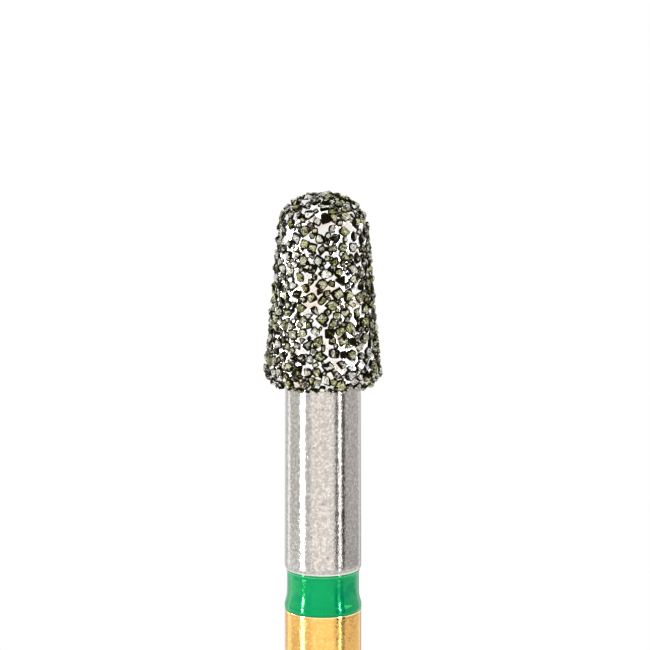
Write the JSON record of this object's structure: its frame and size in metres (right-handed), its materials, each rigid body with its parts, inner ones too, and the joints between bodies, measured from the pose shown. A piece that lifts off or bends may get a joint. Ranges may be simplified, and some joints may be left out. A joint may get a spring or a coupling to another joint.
{
  "type": "dental bur",
  "caption": "Slim rotary grinding bur for a high-speed dental handpiece, with a turned shank, a colour ring, a short neck and a tapered, round-ended head coated with coarse diamond grit.",
  "frame": {"origin": "centre of the shank's end face, the lowest point of the bur as it stands in the frame", "axes": "+Z along the bur's axis, from the shank's end to the tip of the head; the bur is round, so X and Y are free"},
  "size_m": [0.0024, 0.0024, 0.019],
  "materials": {
    "steel": "fine turned steel, gold plated below the colour ring",
    "green_lacquer": "glossy green lacquer",
    "nickel": "bright electroplated nickel",
    "diamond": "glossy olive crystal faces"
  },
  "bodies": {
    "root": {"bur_blank": "steel", "colour_ring": "green_lacquer", "nickel_bond": "nickel", "diamond_grit": "diamond"}
  },
  "joints": []
}
